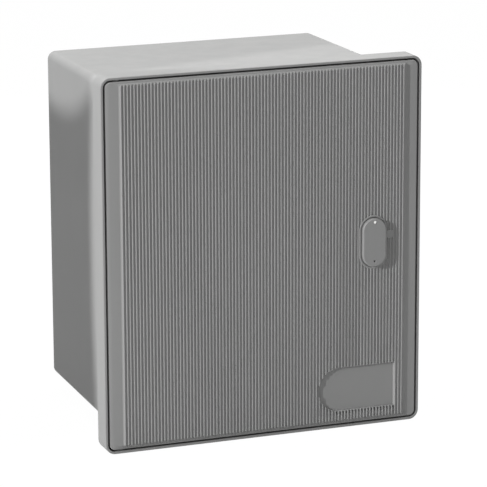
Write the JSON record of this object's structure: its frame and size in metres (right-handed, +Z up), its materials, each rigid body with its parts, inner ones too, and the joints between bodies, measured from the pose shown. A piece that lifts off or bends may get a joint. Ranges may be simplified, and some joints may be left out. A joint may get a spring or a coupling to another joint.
{
  "type": "electric meter box",
  "caption": "Wall-mounted electric meter box with a flush, finely ribbed hinged door, a lock under a swinging cover, a bare badge recess and a board for the meter inside.",
  "frame": {"origin": "centre of the flat back face, which lies against the wall", "axes": "+Y out of the back into the wall, +Z up, +X to the right when the box is looked at from the front; the door faces -Y"},
  "size_m": [0.4, 0.2951, 0.45],
  "materials": {
    "moulded_grey": "moulded, semi-matt",
    "door_grey": "moulded, semi-matt, ribbed",
    "cover_grey": "moulded, smooth",
    "seal_rubber": "soft, matt",
    "gland_rubber": "matt",
    "pin_steel": "ground",
    "washer_plastic": "smooth",
    "lock_zinc": "die cast, plated",
    "spring_steel": "rolled",
    "plated_steel": "zinc plated",
    "screw_steel": "zinc plated",
    "rivet_steel": "bright",
    "board_grey": "pressed laminate",
    "insert_brass": "turned"
  },
  "bodies": {
    "case_body": {"case": "moulded_grey", "door_seal": "seal_rubber", "lock_keeper": "plated_steel", "keeper_screw": "screw_steel", "meter_board": "board_grey", "board_inserts": "insert_brass", "board_screws": "screw_steel", "left_cable_gland": "gland_rubber", "right_cable_gland": "gland_rubber"},
    "door_body": {"door": "door_grey", "upper_hinge_pin": "pin_steel", "lower_hinge_pin": "pin_steel", "hinge_washers": "washer_plastic", "lock_housing": "lock_zinc", "lock_clip": "spring_steel", "cover_rivet": "rivet_steel"},
    "lock_body": {"lock_barrel": "lock_zinc", "latch_cam": "plated_steel", "cam_screw": "screw_steel"},
    "cover_body": {"keyhole_cover": "cover_grey"}
  },
  "joints": [
    {"name": "door_hinge", "type": "hinge", "parent": "case_body", "child": "door_body", "pos_m": [-0.1798, -0.2796, 0], "axis": [0, 0, -1], "range_deg": [0, 110]},
    {"name": "lock_turn", "type": "hinge", "parent": "door_body", "child": "lock_body", "pos_m": [0.138, -0.27, 0.003], "axis": [0, -1, 0], "range_deg": [0, 90]},
    {"name": "cover_swing", "type": "hinge", "parent": "door_body", "child": "cover_body", "pos_m": [0.138, -0.293, 0.0283], "axis": [0, 1, 0], "range_deg": [-120, 120]}
  ]
}
